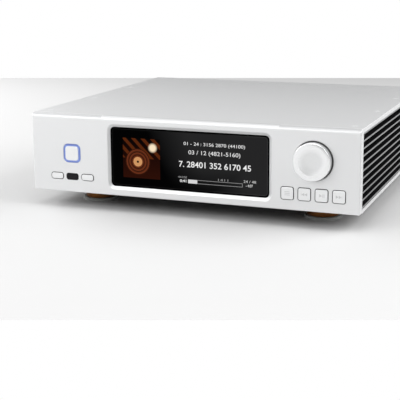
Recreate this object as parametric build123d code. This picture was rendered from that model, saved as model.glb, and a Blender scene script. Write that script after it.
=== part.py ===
from build123d import *
import math
import os

# Network music streamer, in millimetres. X runs left to right as seen from the front, +Y runs to the back and
# +Z up. Depths below are counted from the face of the front panel, and every solid is moved when it is saved,
# so that the origin is at the centre of the object's footprint, on the surface that it stands on.

# Casing
case_width = 350.0
case_depth = 330.0
panel_height = 81.8
foot_height = 17.9
panel_thickness = 8.0
panel_top_round = 4.0
panel_bottom_round = 0.8
panel_side_round = 1.4
plate_thickness = 4.0
plate_edge = 0.3
rear_thickness = 3.0

# Clearances
seat_gap = 0.3
thread_gap = 0.05
running_gap = 0.05
hole_gap = 0.3
overrun = 2.0

# Side heat sinks
sink_wall = 4.0
fin_reach = 12.0
fin_tip = 1.6
fin_root = 2.6
fin_count = 11
rail_reach = 7.0
rail_height = 5.0
low_fin_rise = 1.0

# Screws of the casing: head radius, head height, shank radius and hexagon socket
case_head = 3.0
case_head_height = 2.0
case_shank = 1.5
case_screw_length = 6.0
case_socket = 1.3
case_socket_depth = 1.2
rear_head = 2.4
rear_head_height = 1.6
rear_shank = 1.2
rear_socket_depth = 1.0
cover_screw_inset = 11.0
cover_screw_front = 12.5
cover_screw_rear = 8.0
screws_per_side = 4

# Feet
foot_radius = 16.8
foot_base_radius = 19.2
foot_base_height = 2.7
foot_base_hole = 6.0
foot_edge = 0.6
foot_side_inset = 50.5
foot_front_inset = 57.0
foot_rear_inset = 45.0
foot_head = 3.5
foot_head_height = 3.0
foot_head_depth = 5.0
foot_shank = 2.0
foot_grip = 3.0

# Display window: its distances from the sides, the bottom and the top of the panel, then its own sizes
window_side = 90.0
window_low = 9.45
window_high = 10.65
window_corner = 4.5
bevel_width = 3.0
bevel_depth = 1.8
window_lip = 0.4
window_ledge = 2.0
glass_thickness = 2.0
glass_fit = 0.3
module_inset = 2.0
bracket_side = 11.0
bracket_margin = 3.0
bracket_thickness = 1.5
bracket_rim = 12.0

# Inner front frame
frame_thickness = 1.5
frame_flange = 14.0
frame_screw_grip = 4.5
frame_screw_inset = 6.0
frame_screw_side = 9.0
bracket_screw_side = 7.0

# Power button and its light ring
control_shift = 1.0
power_rise = 40.8
ring_width = 19.2
ring_corner = 4.9
ring_recess = 0.3
ring_fit = 0.15
ring_bevel = 0.5
power_cap = 14.8
power_corner = 3.4
power_proud = 0.5
power_gap = 0.3
power_flange = 1.3
power_ledge = 4.5
power_stem = 2.5

# Small keys beside the infrared window
small_width = 13.4
small_height = 6.1
small_corner = 2.4
small_pitch = 17.5
small_rise = 16.3
small_proud = 0.5
small_gap = 0.5
infrared_width = 14.0
infrared_height = 7.1
infrared_corner = 2.6
infrared_recess = 0.3
receiver_width = 7.0
receiver_height = 6.0
receiver_depth = 4.0
receiver_corner = 1.0

# Square keys under the knob
key_pitch = 16.95
key_rise = 16.4
key_width = 12.0
key_height = 11.9
key_corner = 1.8
key_proud = 0.6
key_gap = 0.5
opening_edge = 0.35
key_count = 4

# Flanges, stems and travel that all keys share
key_flange = 1.1
flange_thickness = 1.2
key_edge = 0.3
key_stem = 2.0
key_travel = 0.8
travel_spare = 0.1
key_ledge = 4.0
pocket_margin = 0.6

# Volume knob
knob_rise = 49.5
knob_radius = 18.3
knob_proud = 8.0
knob_gap = 0.9
well_depth = 4.0
well_bevel = 0.9
knob_float = 0.4
knob_chamfer = 0.7
dish_radius = 13.4
dish_depth = 0.8
knob_hollow = 9.0
knob_hollow_depth = 2.6
shaft_radius = 3.0
shaft_bite = 6.4
grub_radius = 1.5
grub_length = 8.0
grub_set_back = 3.5

# Rotary encoder behind the knob
encoder_width = 12.4
bush_radius = 4.5
bush_proud = 2.5
nut_radius = 7.0
nut_thickness = 2.0
shaft_tail = 3.0

# Control boards behind the front frame
board_thickness = 1.6
switch_width = 6.0
switch_height = 3.4
plunger_radius = 1.7
plunger_length = 1.2
control_gap = 4.5
control_board_low = 8.0
left_board_height = 44.0
right_board_height = 54.0
control_board_side = 1.0
control_board_gap = 3.0
control_screw_inset = 4.0

# Standoffs and screws of the boards
post_height = 6.0
post_radius = 3.0
board_head = 2.75
board_head_height = 1.8
board_shank = 1.5
board_screw_length = 5.0
board_inset = 5.0
board_space = 6.0

# Toroidal transformer
toroid_radius = 52.0
toroid_hole = 14.0
toroid_height = 45.0
toroid_round = 9.0
toroid_side = 12.0
toroid_front = 6.0
toroid_pad = 2.0
toroid_plate = 30.0
toroid_plate_thickness = 2.5
toroid_bolt = 4.0
toroid_bolt_head = 7.0
toroid_bolt_height = 5.0

# Power supply board and its filter capacitors
supply_width = 62.0
supply_front = 18.0
supply_back = 37.0
can_radius = 12.5
can_height = 40.0
can_round = 1.5
can_pitch = 29.0

# Main board
main_side = 17.0
main_width = 160.0
main_front = 18.0
main_back = 23.0
cooler_width = 70.0
cooler_space = 6.5
cooler_base = 4.0
cooler_height = 30.0
cooler_fins = 12
cooler_fin = 1.6
memory_width = 70.0
memory_depth = 30.0
memory_height = 5.0
memory_from_front = 25.0
store_width = 80.0
store_depth = 22.0
store_height = 3.0
store_from_back = 16.0
socket_end = 2.0
socket_depth = 5.0
socket_height = 5.0

# Output board with the sockets that show at the back
output_depth = 100.0
output_post_back = 30.0
socket_y_fit = 0.2
jack_count = 3
jack_rise = 10.0
jack_radius = 4.15
jack_bore = 1.6
jack_bore_depth = 9.0
jack_proud = 9.5
jack_body_width = 12.0
jack_body_depth = 15.0
jack_body_height = 16.0
jack_collar = 6.2
jack_collar_proud = 1.5
optical_width = 10.0
optical_height = 10.0
optical_depth = 14.0
optical_hole = 6.0
optical_hole_depth = 8.0
usb_width = 14.6
usb_height = 16.0
usb_depth = 18.0
usb_slot_width = 12.6
usb_slot_height = 5.2
usb_slot_depth = 13.0
usb_slot_pitch = 7.6
usb_tongue = 1.9
usb_tongue_width = 11.0
network_width = 16.0
network_height = 13.5
network_depth = 21.0
network_hole_width = 11.8
network_hole_height = 7.2
network_hole_depth = 13.0
network_latch = 6.2
network_latch_height = 2.0
socket_proud = 0.4

# Mains inlet
inlet_side = 9.0
inlet_rise = 22.0
inlet_flange_width = 50.0
inlet_flange_height = 25.0
inlet_flange_thickness = 2.5
inlet_flange_corner = 4.0
inlet_width = 28.0
inlet_corner = 1.0
inlet_height = 20.0
inlet_depth = 24.0
inlet_hole_width = 24.2
inlet_hole_height = 16.2
inlet_hole_depth = 17.0
inlet_hole_chamfer = 4.0
inlet_pin_width = 2.0
inlet_pin_height = 4.0
inlet_pin_length = 11.0
inlet_pin_pitch = 7.0
inlet_pin_drop = 2.0
inlet_screw_spread = 20.0

# Power switch
switch_above_inlet = 4.0
bezel_width = 16.4
bezel_height = 23.0
bezel_thickness = 1.5
bezel_corner = 1.5
rocker_body_width = 13.0
rocker_body_height = 19.4
rocker_body_depth = 17.0
rocker_width = 10.2
rocker_reach = 8.0
rocker_waist = 3.6
rocker_back = 5.0
rocker_gap = 0.35
rocker_pin = 1.5
rocker_pin_reach = 0.9
rocker_set_back = 3.0
rocker_tip_angle = 62.0
rocker_back_angle = 140.0
rocker_lean = 8.0

# Storage drive on a tray that slides out at the back
tray_side = 7.2
tray_width = 74.0
tray_depth = 112.0
tray_wall = 1.2
tray_side_height = 12.0
tray_side_gap = 0.5
tray_face_height = 20.0
tray_lip_width = 30.0
tray_lip_height = 4.0
tray_lip_proud = 7.0
bay_wall = 1.2
bay_height = 22.6
drive_width = 69.8
drive_depth = 100.0
drive_height = 9.5
drive_round = 2.0

# Ribbon cables
ribbon_thickness = 0.5
display_ribbon_width = 20.0
control_ribbon_width = 12.0
ribbon_loop = 9.0
ribbon_lift = 2.0

# Heights and depths that follow from the sizes above
deck = foot_height + plate_thickness
lid = foot_height + panel_height - plate_thickness
inner_half = case_width / 2 - fin_reach - sink_wall
rear_inside = case_depth - rear_thickness
frame_back = panel_thickness + frame_thickness
control_front = frame_back + control_gap
board_top = deck + post_height + board_thickness
key_reach = control_front - switch_height - plunger_length - key_travel - travel_spare
glass_front = bevel_depth + window_lip
module_front = glass_front + glass_thickness
middle_depth = (case_depth + jack_proud - knob_proud) / 2

# The window, and the columns of controls in the fields on both sides of it
window_width = case_width - 2 * window_side
window_height = panel_height - window_low - window_high
window_rise = window_low + window_height / 2
knob_x = case_width / 2 - window_side / 2 - control_shift
key_x = knob_x
power_x = -knob_x

# Places inside the casing, counted from its walls
toroid_x = -inner_half + toroid_side + toroid_radius
toroid_y = panel_thickness + frame_flange + toroid_front + toroid_radius
supply_x = -inner_half + board_space + supply_width / 2
supply_y0 = toroid_y + toroid_radius + supply_front
supply_y1 = rear_inside - supply_back
tray_x = inner_half - tray_side - bay_wall - tray_side_gap - tray_width / 2
bay_left = tray_x - tray_width / 2 - tray_side_gap - bay_wall
bay_front = rear_inside - tray_depth - bay_wall - tray_side_gap
main_x = inner_half - main_side - main_width / 2
main_y0 = panel_thickness + frame_flange + main_front
main_y1 = bay_front - main_back
inlet_x = -inner_half + inlet_side + inlet_flange_width / 2
switch_rise = inlet_rise + inlet_flange_height / 2 + switch_above_inlet + bezel_height / 2

# The row of sockets on the output board, evenly spaced between the board's sides
output_left = supply_x + supply_width / 2 + board_space
output_width = bay_left - board_space - output_left
socket_widths = [2 * jack_collar] * jack_count + [optical_width, usb_width, network_width]
socket_space = (output_width - sum(socket_widths)) / (len(socket_widths) + 1)
socket_places = [output_left + (i + 1) * socket_space + sum(socket_widths[:i]) + socket_widths[i] / 2
                 for i in range(len(socket_widths))]
optical_x, usb_x, network_x = socket_places[jack_count:]


def block(x0, x1, y0, y1, z0, z1):
    """A box between six planes."""
    return Pos((x0 + x1) / 2, (y0 + y1) / 2, (z0 + z1) / 2) * Box(x1 - x0, y1 - y0, z1 - z0)


def rod_x(y, z, radius, x0, x1):
    """A cylinder along X."""
    return Pos((x0 + x1) / 2, y, z) * Rot(0, 90, 0) * Cylinder(radius, x1 - x0)


def rod_y(x, z, radius, y0, y1):
    """A cylinder along Y."""
    return Pos(x, (y0 + y1) / 2, z) * Rot(90, 0, 0) * Cylinder(radius, y1 - y0)


def rod_z(x, y, radius, z0, z1):
    """A cylinder along Z."""
    return Pos(x, y, (z0 + z1) / 2) * Cylinder(radius, z1 - z0)


def tile_y(x, z, width, height, corner, y0, y1):
    """A block with rounded vertical edges seen from the front, between two depths."""
    return Pos(x, y1, z) * Rot(90, 0, 0) * extrude(RectangleRounded(width, height, corner), amount=y1 - y0)


def hex_y(x, z, radius, y0, y1):
    """A hexagon bar along Y."""
    return Pos(x, y1, z) * Rot(90, 0, 0) * extrude(RegularPolygon(radius, 6), amount=y1 - y0)


def prism_x(points, x0, x1):
    """A prism along X over an outline of (depth, height) points."""
    outline = make_face(Polyline(*[(0, y, z) for y, z in points], close=True))
    return Pos(x0, 0, 0) * extrude(outline, amount=x1 - x0, dir=(1, 0, 0))


def prism_y(outline, y0, y1):
    """A prism along Y over a flat outline drawn as (x, height)."""
    return Pos(0, y1, 0) * Rot(90, 0, 0) * extrude(outline, amount=y1 - y0)


def screw(head, head_height, shank, length, socket, socket_depth):
    """A screw along -Z with the underside of its head at the origin and a hexagon socket in its head."""
    body = rod_z(0, 0, head, 0, head_height) + rod_z(0, 0, shank, -length, 0)
    recess = Pos(0, 0, head_height - socket_depth) * extrude(RegularPolygon(socket, 6), amount=head_height)
    return body - recess


def case_screw(length):
    """The casing's own screw."""
    return screw(case_head, case_head_height, case_shank, length, case_socket, case_socket_depth)


def save(node, *shapes):
    """Writes one node, with its solids moved to the object's own frame."""
    solids = [Pos(0, -middle_depth, 0) * solid for shape in shapes for solid in shape.solids()]
    whole = solids[0] if len(solids) == 1 else Compound(solids)
    export_step(whole, f"parts/{node}.step")


def evenly(first, last, count):
    """Places spread evenly from the first to the last."""
    return [first + (last - first) * i / (count - 1) for i in range(count)]


def around(middle, pitch, count):
    """Places at one pitch, centred on the middle."""
    return [middle + (i - (count - 1) / 2) * pitch for i in range(count)]


def cover_screw_places():
    """Centres of the screws along both sides of the casing."""
    side = case_width / 2 - cover_screw_inset
    rows = evenly(panel_thickness + cover_screw_front, case_depth - cover_screw_rear, screws_per_side)
    return [(x, y) for x in (-side, side) for y in rows]


def foot_places():
    """Name and centre of each foot."""
    side = case_width / 2 - foot_side_inset
    front, rear = foot_front_inset, case_depth - foot_rear_inset
    return {"front_left": (-side, front), "front_right": (side, front),
            "rear_left": (-side, rear), "rear_right": (side, rear)}


def bracket_screw_places():
    """Centres of the screws that hold the display bracket and the front frame to the front panel."""
    side = window_width / 2 + bracket_screw_side
    low, high = deck + frame_screw_inset, lid - frame_screw_inset
    return [(x, z) for x in (-side, side) for z in (low, high)]


def frame_screw_places():
    """Centres of the two screws at the upper corners of the front frame."""
    side = inner_half - frame_screw_side
    return [(x, lid - frame_screw_inset) for x in (-side, side)]


def key_places():
    """Centres of the four square keys, left to right."""
    return around(key_x, key_pitch, key_count)


def small_places():
    """Centres of the two small keys, left to right."""
    return [power_x - small_pitch, power_x + small_pitch]


def plunger_places():
    """Centres of all the stems behind the panel."""
    power = [(power_x, foot_height + power_rise)]
    small = [(x, foot_height + small_rise) for x in small_places()]
    square = [(x, foot_height + key_rise) for x in key_places()]
    return power + small, square


def rear_screw_places():
    """Centres of the screws that hold the rear panel to the ends of the heat sinks."""
    side = inner_half + sink_wall / 2
    heights = evenly(deck + rail_height + case_head, lid - rail_height - case_head, 3)
    return [(x, z) for x in (-side, side) for z in heights]


def bevel_cut(x, z, width, height, corner, reach, depth):
    """The bevel round an opening: reach is its width on the face of the panel."""
    outer = RectangleRounded(width + 2 * reach, height + 2 * reach, corner + reach)
    inner = RectangleRounded(width, height, corner)
    upright = Rot(90, 0, 0)
    return loft([(Pos(x, 0, z) * upright * outer).face(), (Pos(x, depth, z) * upright * inner).face()])


def window_cut():
    """The opening for the display: a bevel, a lip and a pocket for the glass from behind."""
    z = foot_height + window_rise
    bevel = bevel_cut(0, z, window_width, window_height, window_corner, bevel_width, bevel_depth)
    lip = tile_y(0, z, window_width, window_height, window_corner, bevel_depth, panel_thickness + overrun)
    pocket = tile_y(0, z, window_width + 2 * window_ledge, window_height + 2 * window_ledge,
                    window_corner + window_ledge, glass_front, panel_thickness + overrun)
    return [bevel, lip, pocket]


def key_opening(x, z, width, height, corner, gap):
    """A key's opening through the panel, with its front edge broken."""
    sizes = (width + 2 * gap, height + 2 * gap, corner + gap)
    return [tile_y(x, z, *sizes, -overrun, panel_thickness + overrun),
            bevel_cut(x, z, *sizes, opening_edge, opening_edge)]


def control_cuts():
    """Openings for the keys, the light ring and the infrared window, with pockets for their flanges behind."""
    through = (-overrun, panel_thickness + overrun)
    pocket = (key_ledge, panel_thickness + overrun)
    low = foot_height + small_rise
    opening = ring_width + 2 * ring_fit
    cuts = [tile_y(power_x, foot_height + power_rise, opening, opening, ring_corner + ring_fit, *through),
            bevel_cut(power_x, foot_height + power_rise, opening, opening, ring_corner + ring_fit, ring_bevel,
                      ring_bevel)]
    for x in small_places():
        cuts += key_opening(x, low, small_width, small_height, small_corner, small_gap)
    cuts.append(tile_y(power_x, low, infrared_width + 2 * ring_fit, infrared_height + 2 * ring_fit,
                       infrared_corner, *through))
    cuts.append(tile_y(power_x, low, 2 * small_pitch + small_width + 2 * key_flange + 2 * pocket_margin,
                       infrared_height + 2 * key_flange + 2 * pocket_margin, small_corner, *pocket))
    for x in key_places():
        cuts += key_opening(x, foot_height + key_rise, key_width, key_height, key_corner, key_gap)
    cuts.append(tile_y(key_x, foot_height + key_rise,
                       (key_count - 1) * key_pitch + key_width + 2 * key_flange + 2 * pocket_margin,
                       key_height + 2 * key_flange + 2 * pocket_margin, small_corner, *pocket))
    return cuts


def front_panel():
    """Thick front plate with rounded edges, the bevelled window, the knob's well and the key openings."""
    half = case_width / 2
    plate = block(-half, half, 0, panel_thickness, foot_height, foot_height + panel_height)
    front_edges = plate.edges().filter_by(Axis.X).sort_by(Axis.Y)[:2].sort_by(Axis.Z)
    plate = fillet(front_edges[-1], panel_top_round)
    front_edges = plate.edges().filter_by(Axis.X).sort_by(Axis.Y)[:2].sort_by(Axis.Z)
    plate = fillet(front_edges[0], panel_bottom_round)
    plate = fillet(plate.faces().filter_by(Axis.X).edges().sort_by(Axis.Y)[:-2], panel_side_round)
    knob_z = foot_height + knob_rise
    cuts = window_cut() + control_cuts()
    well = knob_radius + knob_gap
    cuts.append(rod_y(knob_x, knob_z, well, -overrun, well_depth))
    cuts.append(Pos(knob_x, well_bevel / 2, knob_z) * Rot(90, 0, 0) * Cone(well, well + well_bevel, well_bevel))
    cuts.append(rod_y(knob_x, knob_z, bush_radius + hole_gap, 0, panel_thickness + overrun))
    for x, z in bracket_screw_places() + frame_screw_places():
        cuts.append(rod_y(x, z, case_shank + thread_gap, panel_thickness - frame_screw_grip - seat_gap,
                          panel_thickness + overrun))
    return plate - cuts


def front_frame():
    """Sheet frame behind the front panel, with a foot flange on the bottom plate."""
    half = inner_half - seat_gap
    sheet = block(-half, half, panel_thickness, frame_back, deck, lid)
    flange = block(-half, half, panel_thickness, panel_thickness + frame_flange, deck, deck + frame_thickness)
    cuts = [tile_y(0, foot_height + window_rise, window_width - module_inset, window_height - module_inset,
                   window_corner, 0, case_depth)]
    left, right = plunger_places()
    for x, z in left[1:] + right:
        cuts.append(rod_y(x, z, key_stem + key_flange, 0, case_depth))
    cuts.append(rod_y(*left[0], power_stem + power_flange, 0, case_depth))
    cuts.append(tile_y(power_x, foot_height + small_rise, receiver_width + 2 * seat_gap,
                       receiver_height + 2 * seat_gap, receiver_corner, 0, case_depth))
    cuts.append(rod_y(knob_x, foot_height + knob_rise, bush_radius + hole_gap, 0, case_depth))
    for x, z in bracket_screw_places() + frame_screw_places():
        cuts.append(rod_y(x, z, case_shank + hole_gap, 0, case_depth))
    for x, z in control_post_places():
        cuts.append(rod_y(x, z, board_shank + hole_gap, 0, case_depth))
    return sheet + flange - cuts


def frame_screws():
    """Screws from behind into the front panel: four through the display bracket, two through the frame alone."""
    screws = []
    for x, z in bracket_screw_places():
        screws.append(Pos(x, frame_back + bracket_thickness, z) * Rot(-90, 0, 0) * case_screw(
            bracket_thickness + frame_thickness + frame_screw_grip))
    for x, z in frame_screw_places():
        screws.append(Pos(x, frame_back, z) * Rot(-90, 0, 0) * case_screw(frame_thickness + frame_screw_grip))
    return screws


def side_heatsink(side):
    """Extruded heat sink, with a rail for the plates' screws at the top and the bottom, and fins between."""
    wall, root, tip = inner_half, inner_half + sink_wall, case_width / 2
    heights = evenly(deck + low_fin_rise + fin_tip / 2, lid - fin_tip / 2, fin_count)
    section = Pos((wall + root) / 2, (deck + lid) / 2) * Rectangle(root - wall, lid - deck)
    for z0 in (deck, lid - rail_height):
        section += Pos(root + rail_reach / 2, z0 + rail_height / 2) * Rectangle(rail_reach, rail_height)
    for i, z in enumerate(heights):
        half_root = fin_tip / 2 if i in (0, fin_count - 1) else fin_root / 2
        section += make_face(Polyline((root, z - half_root), (tip, z - fin_tip / 2), (tip, z + fin_tip / 2),
                                      (root, z + half_root), close=True))
    bar = prism_y(section, panel_thickness, case_depth)
    bar -= block(wall, root, rear_inside, case_depth + overrun, deck - overrun, lid + overrun)
    for x, y in cover_screw_places():
        if x > 0:
            depth = case_screw_length - (plate_thickness - case_head_height) + seat_gap
            bar -= rod_z(x, y, case_shank + thread_gap, lid - depth, lid + overrun)
            bar -= rod_z(x, y, case_shank + thread_gap, deck - overrun, deck + depth)
    for x, z in rear_screw_places():
        if x > 0:
            bar -= rod_y(x, z, rear_shank + thread_gap, rear_inside - case_screw_length, case_depth)
    return bar if side > 0 else mirror(bar, Plane.YZ)


def plate(z0, outside):
    """Top cover or bottom plate, with a counterbored hole for each screw. outside is 1 up or -1 down."""
    half = case_width / 2
    sheet = block(-half, half, panel_thickness, case_depth, z0, z0 + plate_thickness)
    rim = sheet.faces().sort_by(Axis.Z)[-1 if outside > 0 else 0].edges().sort_by(Axis.Y)[1:]
    sheet = chamfer(rim, plate_edge)
    face = z0 + plate_thickness if outside > 0 else z0
    for x, y in cover_screw_places():
        sheet -= rod_z(x, y, case_shank + hole_gap, z0 - overrun, z0 + plate_thickness + overrun)
        ends = sorted((face - outside * case_head_height, face + outside * overrun))
        sheet -= rod_z(x, y, case_head + hole_gap, *ends)
    return sheet


def bottom_plate():
    """The lower plate, with the holes for the feet, the transformer's bolt and the boards' posts."""
    sheet = plate(foot_height, -1)
    for x, y in foot_places().values():
        sheet -= rod_z(x, y, foot_shank + thread_gap, foot_height - overrun, deck + overrun)
    sheet -= rod_z(toroid_x, toroid_y, toroid_bolt + thread_gap, foot_height - overrun, deck + overrun)
    return sheet


def plate_screws(head_z, outside):
    """Screws of one plate, with their heads sunk flush."""
    turn = Rot(0, 0, 0) if outside > 0 else Rot(180, 0, 0)
    return [Pos(x, y, head_z) * turn * case_screw(case_screw_length) for x, y in cover_screw_places()]


def foot(x, y):
    """Turned foot body, with a counterbore from below for its screw."""
    body = rod_z(0, 0, foot_radius, foot_base_height, foot_height)
    body = chamfer(body.edges().group_by(Axis.Z)[0], foot_edge)
    body -= rod_z(0, 0, foot_shank + hole_gap, 0, foot_height + overrun)
    body -= rod_z(0, 0, foot_head + hole_gap, 0, foot_base_height + foot_head_depth)
    return Pos(x, y, 0) * body


def foot_base(x, y):
    """Wider base ring under a foot."""
    ring = rod_z(0, 0, foot_base_radius, 0, foot_base_height)
    ring = chamfer(ring.edges().group_by(Axis.Z)[-1], foot_edge)
    return Pos(x, y, 0) * (ring - rod_z(0, 0, foot_base_hole, -overrun, foot_base_height + overrun))


def foot_screw(x, y):
    """Screw up through a foot into the bottom plate."""
    seat = foot_base_height + foot_head_depth
    length = foot_height - seat + foot_grip
    return Pos(x, y, seat) * Rot(180, 0, 0) * screw(foot_head, foot_head_height, foot_shank, length, foot_shank,
                                                    foot_head_height / 2)


def display_window():
    """Glass of the display, seated against the lip from behind."""
    spread = 2 * window_ledge - 2 * glass_fit
    return tile_y(0, foot_height + window_rise, window_width + spread, window_height + spread,
                  window_corner + window_ledge - glass_fit, glass_front, module_front)


def display_module():
    """Liquid crystal module behind the glass, flush with the back of the frame."""
    spread = -module_inset - 2 * glass_fit
    return tile_y(0, foot_height + window_rise, window_width + spread, window_height + spread,
                  window_corner - glass_fit, module_front, frame_back)


def display_bracket():
    """Open plate that holds the module from behind against the glass."""
    z = foot_height + window_rise
    width, height = window_width + 2 * bracket_side, window_height + 2 * bracket_margin
    body = tile_y(0, z, width, height, window_corner, frame_back, frame_back + bracket_thickness)
    body -= tile_y(0, z, window_width - 2 * bracket_rim, window_height - 2 * bracket_rim, window_corner,
                   0, case_depth)
    for x, screw_z in bracket_screw_places():
        body -= rod_y(x, screw_z, case_shank + hole_gap, 0, case_depth)
    return body


def light_ring():
    """Clear ring round the power button, stepped inside for the button's flange."""
    z = foot_height + power_rise
    opening = power_cap + 2 * power_gap
    ring = tile_y(power_x, z, ring_width, ring_width, ring_corner, ring_recess, panel_thickness)
    ring -= tile_y(power_x, z, opening, opening, power_corner + power_gap, -overrun, panel_thickness + overrun)
    inner = opening + 2 * power_flange
    return ring - tile_y(power_x, z, inner, inner, power_corner + power_flange, power_ledge,
                         panel_thickness + overrun)


def push_key(x, z, width, height, corner, proud, flange, ledge, stem):
    """A key: its cap, the flange that holds it in, and the stem that reaches its switch."""
    seat = ledge + seat_gap
    cap = tile_y(x, z, width, height, corner, -proud, seat)
    cap = chamfer(cap.edges().group_by(Axis.Y)[0], key_edge)
    rim = tile_y(x, z, width + 2 * flange, height + 2 * flange, corner + flange, seat, seat + flange_thickness)
    return cap + rim + rod_y(x, z, stem, seat + flange_thickness, key_reach)


def power_button():
    """Square power button inside the light ring."""
    return push_key(power_x, foot_height + power_rise, power_cap, power_cap, power_corner, power_proud,
                    key_flange, power_ledge, power_stem)


def small_button(x):
    """Small wide key beside the infrared window."""
    return push_key(x, foot_height + small_rise, small_width, small_height, small_corner, small_proud,
                    key_flange, key_ledge, key_stem)


def square_button(x):
    """Square key under the knob."""
    return push_key(x, foot_height + key_rise, key_width, key_height, key_corner, key_proud,
                    key_flange, key_ledge, key_stem)


def remote_window():
    """Dark infrared window, flanged behind the panel."""
    z = foot_height + small_rise
    front = tile_y(power_x, z, infrared_width, infrared_height, infrared_corner, infrared_recess, key_ledge)
    rim = tile_y(power_x, z, infrared_width + key_flange, infrared_height + key_flange, infrared_corner,
                 key_ledge, key_ledge + flange_thickness)
    return front + rim


def remote_receiver():
    """Infrared receiver on the left control board, looking through the window."""
    x, z = power_x, foot_height + small_rise
    half_width, half_height = receiver_width / 2, receiver_height / 2
    body = block(x - half_width, x + half_width, control_front - receiver_depth, control_front,
                 z - half_height, z + half_height)
    return body + rod_y(x, z, half_height, key_ledge + flange_thickness + seat_gap, control_front)


def knob():
    """Turned volume knob with a dished face, hollow behind for the encoder's nut."""
    back = well_depth - knob_float
    rim = knob_radius - knob_chamfer
    dish_curve = (dish_radius ** 2 + dish_depth ** 2) / (2 * dish_depth)
    half_turn = math.asin(dish_radius / dish_curve) / 2
    dish_floor = -knob_proud + dish_depth
    mid = (dish_curve * math.sin(half_turn), dish_floor - dish_curve * (1 - math.cos(half_turn)))
    outline = [Line((0, back), (knob_radius, back)),
               Line((knob_radius, back), (knob_radius, -knob_proud + knob_chamfer)),
               Line((knob_radius, -knob_proud + knob_chamfer), (rim, -knob_proud)),
               Line((rim, -knob_proud), (dish_radius, -knob_proud)),
               ThreePointArc((dish_radius, -knob_proud), mid, (0, dish_floor)),
               Line((0, dish_floor), (0, back))]
    body = revolve(make_face(outline), Axis.Y)
    body -= rod_y(0, 0, knob_hollow, back - knob_hollow_depth, back + overrun)
    body -= rod_y(0, 0, shaft_radius + thread_gap, back - knob_hollow_depth - shaft_bite, back)
    grub_y = -grub_set_back
    body -= rod_z(0, grub_y, grub_radius + thread_gap, -knob_radius - overrun, 0)
    return Pos(knob_x, 0, foot_height + knob_rise) * body


def knob_set_screw():
    """Grub screw from below that holds the knob to the shaft."""
    top = foot_height + knob_rise - shaft_radius - seat_gap
    body = rod_z(knob_x, -grub_set_back, grub_radius, top - grub_length, top)
    recess = extrude(RegularPolygon(grub_radius / 2, 6), amount=grub_length / 4)
    return body - Pos(knob_x, -grub_set_back, top - grub_length) * recess


def encoder_shaft():
    """Shaft that turns with the knob, from the knob's bore into the encoder."""
    back = well_depth - knob_float
    return rod_y(knob_x, foot_height + knob_rise, shaft_radius,
                 back - knob_hollow_depth - shaft_bite + seat_gap, frame_back + shaft_tail)


def encoder_housing():
    """Body and threaded bush of the rotary encoder."""
    z = foot_height + knob_rise
    half = encoder_width / 2
    body = block(knob_x - half, knob_x + half, frame_back, control_front, z - half, z + half)
    body += rod_y(knob_x, z, bush_radius, well_depth - bush_proud, frame_back)
    bore = shaft_radius + running_gap
    return body - rod_y(knob_x, z, bore, -overrun, frame_back + shaft_tail + running_gap)


def encoder_nut():
    """Nut that clamps the encoder's bush in the floor of the well."""
    z = foot_height + knob_rise
    nut = hex_y(knob_x, z, nut_radius, well_depth - nut_thickness, well_depth)
    return nut - rod_y(knob_x, z, bush_radius + thread_gap, -overrun, well_depth + overrun)


def control_board_boxes():
    """Left edge, right edge, bottom and top of the two control boards."""
    outer = inner_half - control_board_side
    inner = window_width / 2 + bracket_side + control_board_gap
    low = foot_height + control_board_low
    return [(-outer, -inner, low, low + left_board_height), (inner, outer, low, low + right_board_height)]


def control_post_places():
    """Centres of the posts between the front frame and the control boards."""
    places = []
    for x0, x1, z0, z1 in control_board_boxes():
        places += [(x0 + control_screw_inset, z1 - control_screw_inset),
                   (x1 - control_screw_inset, z1 - control_screw_inset)]
    return places


def control_board(box):
    """Upright board behind the front frame."""
    x0, x1, z0, z1 = box
    board = block(x0, x1, control_front, control_front + board_thickness, z0, z1)
    for x, z in control_post_places():
        if x0 < x < x1:
            board -= rod_y(x, z, board_shank + hole_gap, 0, case_depth)
    return board


def tact_switches():
    """One small switch behind each key."""
    left, right = plunger_places()
    half = switch_width / 2
    front = control_front - switch_height
    switches = []
    for x, z in left + right:
        body = block(x - half, x + half, front, control_front, z - half, z + half)
        switches.append(body + rod_y(x, z, plunger_radius, front - plunger_length, front))
    return switches


def flat_boards():
    """Left edge, right edge, front edge, back edge and rear post inset of each flat board."""
    back = rear_inside - socket_y_fit
    front = back - output_depth
    return {"power_supply_board": (supply_x - supply_width / 2, supply_x + supply_width / 2,
                                   supply_y0, supply_y1, board_inset),
            "main_board": (main_x - main_width / 2, main_x + main_width / 2, main_y0, main_y1, board_inset),
            "output_board": (output_left, output_left + output_width, front, back, output_post_back)}


def board_corners(name):
    """Centres of the four posts under a flat board."""
    x0, x1, y0, y1, inset = flat_boards()[name]
    return [(x, y) for x in (x0 + board_inset, x1 - board_inset) for y in (y0 + board_inset, y1 - inset)]


def all_corners():
    """Centres of the posts under all the flat boards."""
    return [corner for name in flat_boards() for corner in board_corners(name)]


def flat_board(name):
    """A board on its posts."""
    x0, x1, y0, y1, _ = flat_boards()[name]
    board = block(x0, x1, y0, y1, board_top - board_thickness, board_top)
    for x, y in board_corners(name):
        board -= rod_z(x, y, board_shank + hole_gap, deck, lid)
    return board


def standoffs():
    """Hexagon posts under the flat boards, and between the front frame and the control boards."""
    posts = []
    hole = board_shank + thread_gap
    for x, y in all_corners():
        post = Pos(x, y, deck) * extrude(RegularPolygon(post_radius, 6), amount=post_height)
        posts.append(post - rod_z(x, y, hole, deck - overrun, deck + post_height + overrun))
    for x, z in control_post_places():
        post = hex_y(x, z, post_radius, frame_back, control_front)
        posts.append(post - rod_y(x, z, hole, 0, case_depth))
    return posts


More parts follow.
